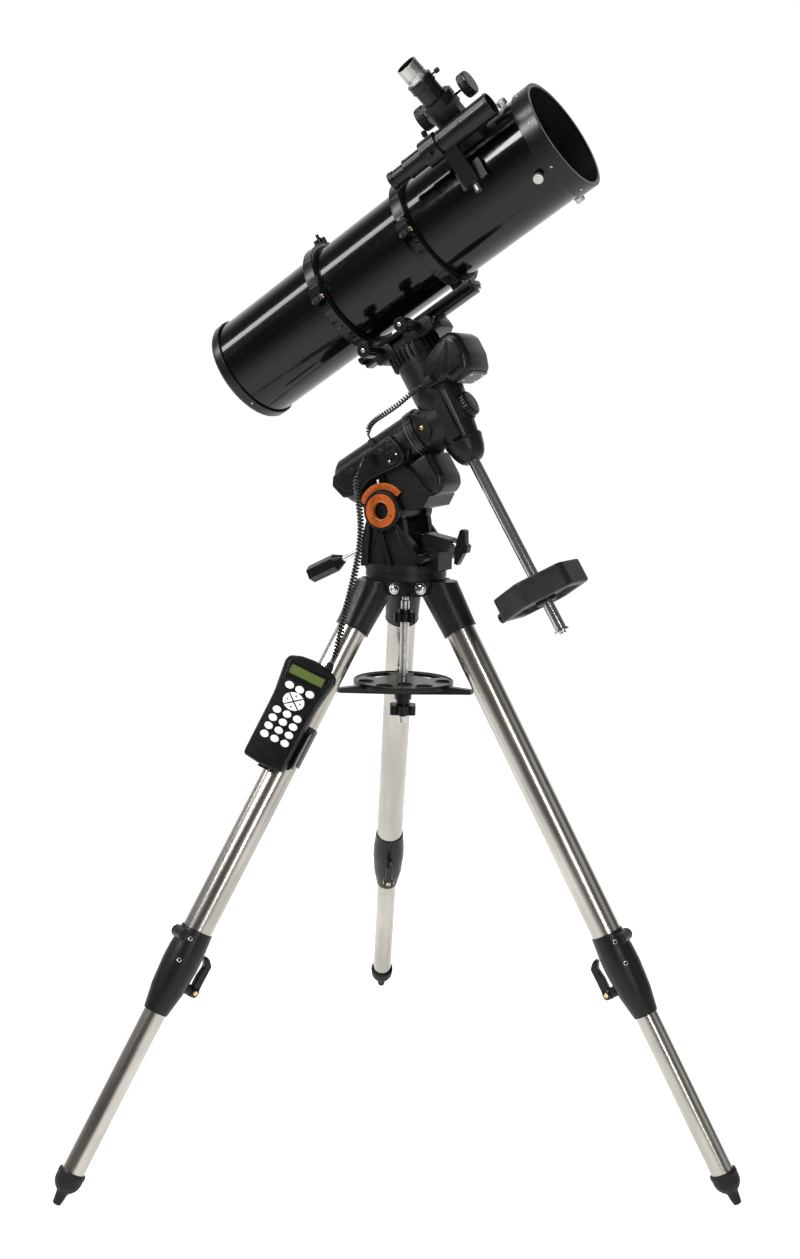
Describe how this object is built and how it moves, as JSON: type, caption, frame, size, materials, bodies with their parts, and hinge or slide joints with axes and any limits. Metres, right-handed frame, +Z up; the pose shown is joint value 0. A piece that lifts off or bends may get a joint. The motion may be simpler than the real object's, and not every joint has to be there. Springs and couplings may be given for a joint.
{
  "type": "telescope on tripod",
  "caption": "Black reflecting telescope on an equatorial mount with counterweight bar, hand control and a folding tubular steel tripod with tray.",
  "frame": {"origin": "on the ground under the tripod's centre line", "axes": "+X north along the mount, over the front latitude screw; +Z up; the polar axis lies in the XZ plane"},
  "size_m": [1.0289, 1.1201, 1.8222],
  "materials": {
    "black_casting": "matt black powder-coated die casting",
    "silver_steel": "plain turned or zinc-plated steel",
    "tube_paint": "gloss black paint with fine sparkle",
    "leg_steel": "bright polished steel tube",
    "black_plastic": "satin moulded plastic",
    "black_rubber": "moulded rubber",
    "orange_plastic": "glossy orange moulding",
    "mirror_glass": "aluminised glass",
    "weight_iron": "black painted cast iron",
    "anodised_black": "black anodised aluminium",
    "silver_aluminium": "bare turned aluminium",
    "key_plastic": "pale soft-touch keys"
  },
  "bodies": {
    "tripod": {"tripod_head": "black_casting", "hinge_bolts": "silver_steel", "center_rod": "silver_steel"},
    "mounting_knob": {"mounting_knob": "black_plastic"},
    "tray": {"accessory_tray": "black_plastic"},
    "tray_knob": {"tray_knob": "black_plastic"},
    "base": {"mount_base": "black_casting", "pivot_caps": "orange_plastic"},
    "azimuth_left": {"azimuth_knob_left": "black_plastic"},
    "azimuth_right": {"azimuth_knob_right": "black_plastic"},
    "latitude_front": {"latitude_screw_front": "black_plastic"},
    "latitude_rear": {"latitude_screw_rear": "black_plastic"},
    "polar": {"polar_housing": "black_casting", "polar_motor_cover": "black_plastic", "port_panel": "black_plastic", "cord_plugs": "black_plastic", "hand_control_cord": "black_rubber", "declination_cord": "black_rubber"},
    "declination": {"declination_housing": "black_casting", "declination_motor_cover": "black_plastic", "setting_circle": "black_plastic", "polar_port_cap": "black_plastic", "counterweight_bar": "silver_steel"},
    "weight": {"counterweight": "weight_iron"},
    "weight_knob": {"counterweight_knob": "black_plastic"},
    "telescope": {"saddle": "black_casting", "dovetail_bar": "anodised_black", "ring_lower_halves": "anodised_black", "ring_upper_halves": "anodised_black", "ring_knobs": "black_plastic", "main_tube": "tube_paint", "front_ring": "anodised_black", "rear_cell": "anodised_black", "primary_mirror": "mirror_glass", "secondary_spider": "anodised_black", "focuser_body": "black_casting", "finder_scope": "anodised_black"},
    "saddle_front": {"saddle_knob_front": "black_plastic"},
    "saddle_rear": {"saddle_knob_rear": "black_plastic"},
    "drawtube": {"focuser_drawtube": "anodised_black", "eyepiece_adapter": "silver_aluminium"},
    "focus_knobs": {"focus_knobs": "black_plastic"},
    "hand_control": {"hand_control": "black_plastic"},
    "keypad": {"keypad": "key_plastic"},
    "leg_1": {"leg_castings_1": "black_casting", "leg_tube_1": "leg_steel"},
    "lower_leg_1": {"lower_tube_1": "leg_steel", "rubber_foot_1": "black_rubber"},
    "lever_1": {"lock_lever_1": "black_plastic"},
    "leg_2": {"leg_castings_2": "black_casting", "leg_tube_2": "leg_steel"},
    "lower_leg_2": {"lower_tube_2": "leg_steel", "rubber_foot_2": "black_rubber"},
    "lever_2": {"lock_lever_2": "black_plastic"},
    "leg_3": {"leg_castings_3": "black_casting", "leg_tube_3": "leg_steel", "control_cradle": "black_plastic"},
    "lower_leg_3": {"lower_tube_3": "leg_steel", "rubber_foot_3": "black_rubber"},
    "lever_3": {"lock_lever_3": "black_plastic"}
  },
  "joints": [
    {"name": "azimuth", "type": "hinge", "parent": "tripod", "child": "base", "pos_m": [0, 0, 1.005], "axis": [0, 0, 1], "range_deg": [-7.5, 7.5]},
    {"name": "latitude", "type": "hinge", "parent": "base", "child": "polar", "pos_m": [-0.0181, 0, 1.1073], "axis": [0, -1, 0], "range_deg": [-7.3, 27.7], "deforming": ["hand_control_cord"]},
    {"name": "latitude_front_screw", "type": "slide", "parent": "base", "child": "latitude_front", "axis": [0.9816, 0, -0.1908], "range_m": [-0.005, 0.019]},
    {"name": "latitude_rear_screw", "type": "slide", "parent": "base", "child": "latitude_rear", "axis": [0.8988, 0, 0.4384], "range_m": [-0.0045, 0.0165]},
    {"name": "right_ascension", "type": "hinge", "parent": "polar", "child": "declination", "pos_m": [0.0786, 0, 1.2692], "axis": [0.8453, 0, 0.5344], "range_deg": [-90, 90], "deforming": ["declination_cord"]},
    {"name": "declination_turn", "type": "hinge", "parent": "declination", "child": "telescope", "pos_m": [0.0786, 0, 1.2692], "axis": [0.5344, 0, -0.8453], "continuous": true},
    {"name": "counterweight_slide", "type": "slide", "parent": "declination", "child": "weight", "axis": [0.5344, 0, -0.8453], "range_m": [-0.095, 0.045]},
    {"name": "counterweight_knob_turn", "type": "hinge", "parent": "weight", "child": "weight_knob", "pos_m": [0.26028, 0, 0.98181], "axis": [0.8453, 0, 0.5344], "range_deg": [-180, 180]},
    {"name": "saddle_front_turn", "type": "hinge", "parent": "telescope", "child": "saddle_front", "pos_m": [0.03057, 0, 1.4163], "axis": [0, -1, 0], "range_deg": [-180, 180]},
    {"name": "saddle_rear_turn", "type": "hinge", "parent": "telescope", "child": "saddle_rear", "pos_m": [-0.03705, 0, 1.37355], "axis": [0, -1, 0], "range_deg": [-180, 180]},
    {"name": "azimuth_left_turn", "type": "hinge", "parent": "base", "child": "azimuth_left", "pos_m": [0.06, 0, 1.031], "axis": [0, -1, 0], "range_deg": [-180, 180]},
    {"name": "azimuth_right_turn", "type": "hinge", "parent": "base", "child": "azimuth_right", "pos_m": [0.06, 0, 1.031], "axis": [0, 1, 0], "range_deg": [-180, 180]},
    {"name": "mounting_knob_turn", "type": "hinge", "parent": "tripod", "child": "mounting_knob", "pos_m": [0, 0, 0.92], "axis": [0, 0, 1], "range_deg": [-180, 180]},
    {"name": "tray_knob_turn", "type": "hinge", "parent": "tray", "child": "tray_knob", "pos_m": [0, 0, 0.76], "axis": [0, 0, 1], "range_deg": [-180, 180]},
    {"name": "focus_slide", "type": "slide", "parent": "telescope", "child": "drawtube", "axis": [-0.4093, -0.6428, 0.6475], "range_m": [-0.022, 0.035]},
    {"name": "focus_turn", "type": "hinge", "parent": "telescope", "child": "focus_knobs", "pos_m": [0.09087, -0.07114, 1.7663], "axis": [-0.8453, 0, -0.5344], "range_deg": [-100, 160]},
    {"name": "leg_1_fold", "type": "hinge", "parent": "tripod", "child": "leg_1", "pos_m": [0.04801, 0.00168, 0.978], "axis": [-0.0349, 0.9994, 0], "range_deg": [0, 30.5]},
    {"name": "leg_1_slide", "type": "slide", "parent": "leg_1", "child": "lower_leg_1", "axis": [0.5083, 0.0178, -0.861], "range_m": [-0.26, 0.25]},
    {"name": "lever_1_turn", "type": "hinge", "parent": "leg_1", "child": "lever_1", "pos_m": [0.44136, 0.01541, 0.33928], "axis": [-0.8605, -0.03, -0.5086], "range_deg": [0, 100]},
    {"name": "leg_2_fold", "type": "hinge", "parent": "tripod", "child": "leg_2", "pos_m": [-0.02546, 0.04074, 0.978], "axis": [-0.848, -0.5299, 0], "range_deg": [0, 30.5]},
    {"name": "leg_2_slide", "type": "slide", "parent": "leg_2", "child": "lower_leg_2", "axis": [-0.2695, 0.4313, -0.861], "range_m": [-0.26, 0.25]},
    {"name": "lever_2_turn", "type": "hinge", "parent": "leg_2", "child": "lever_2", "pos_m": [-0.23403, 0.37453, 0.33928], "axis": [0.4563, -0.7302, -0.5086], "range_deg": [0, 100]},
    {"name": "leg_3_fold", "type": "hinge", "parent": "tripod", "child": "leg_3", "pos_m": [-0.02255, -0.04242, 0.978], "axis": [0.8829, -0.4695, 0], "range_deg": [0, 30.5]},
    {"name": "leg_3_slide", "type": "slide", "parent": "leg_3", "child": "lower_leg_3", "axis": [-0.2388, -0.4491, -0.861], "range_m": [-0.26, 0.25]},
    {"name": "lever_3_turn", "type": "hinge", "parent": "leg_3", "child": "lever_3", "pos_m": [-0.20733, -0.38994, 0.33928], "axis": [0.4042, 0.7602, -0.5086], "range_deg": [0, 100]},
    {"name": "tray_lift_off", "type": "slide", "parent": "tripod", "child": "tray", "axis": [0, 0, -1], "range_m": [0, 1.56]},
    {"name": "hand_control_lift", "type": "slide", "parent": "leg_3", "child": "hand_control", "axis": [0.2388, 0.4491, 0.861], "range_m": [0, 0.1]},
    {"name": "key_press", "type": "slide", "parent": "hand_control", "child": "keypad", "axis": [-0.3857, 0.8576, -0.3403], "range_m": [0, 0.001], "stiffness_N_per_m": 1500}
  ],
  "couplings": [
    {"joint": "latitude_front_screw", "follows": "latitude", "m_per_rad": 0.038},
    {"joint": "latitude_rear_screw", "follows": "latitude", "m_per_rad": 0.0338},
    {"joint": "focus_turn", "follows": "focus_slide", "rad_per_m": 77},
    {"joint": "leg_2_fold", "follows": "leg_1_fold", "ratio": 1},
    {"joint": "leg_3_fold", "follows": "leg_1_fold", "ratio": 1},
    {"joint": "tray_lift_off", "follows": "leg_1_fold", "m_per_rad": 2.9118}
  ]
}
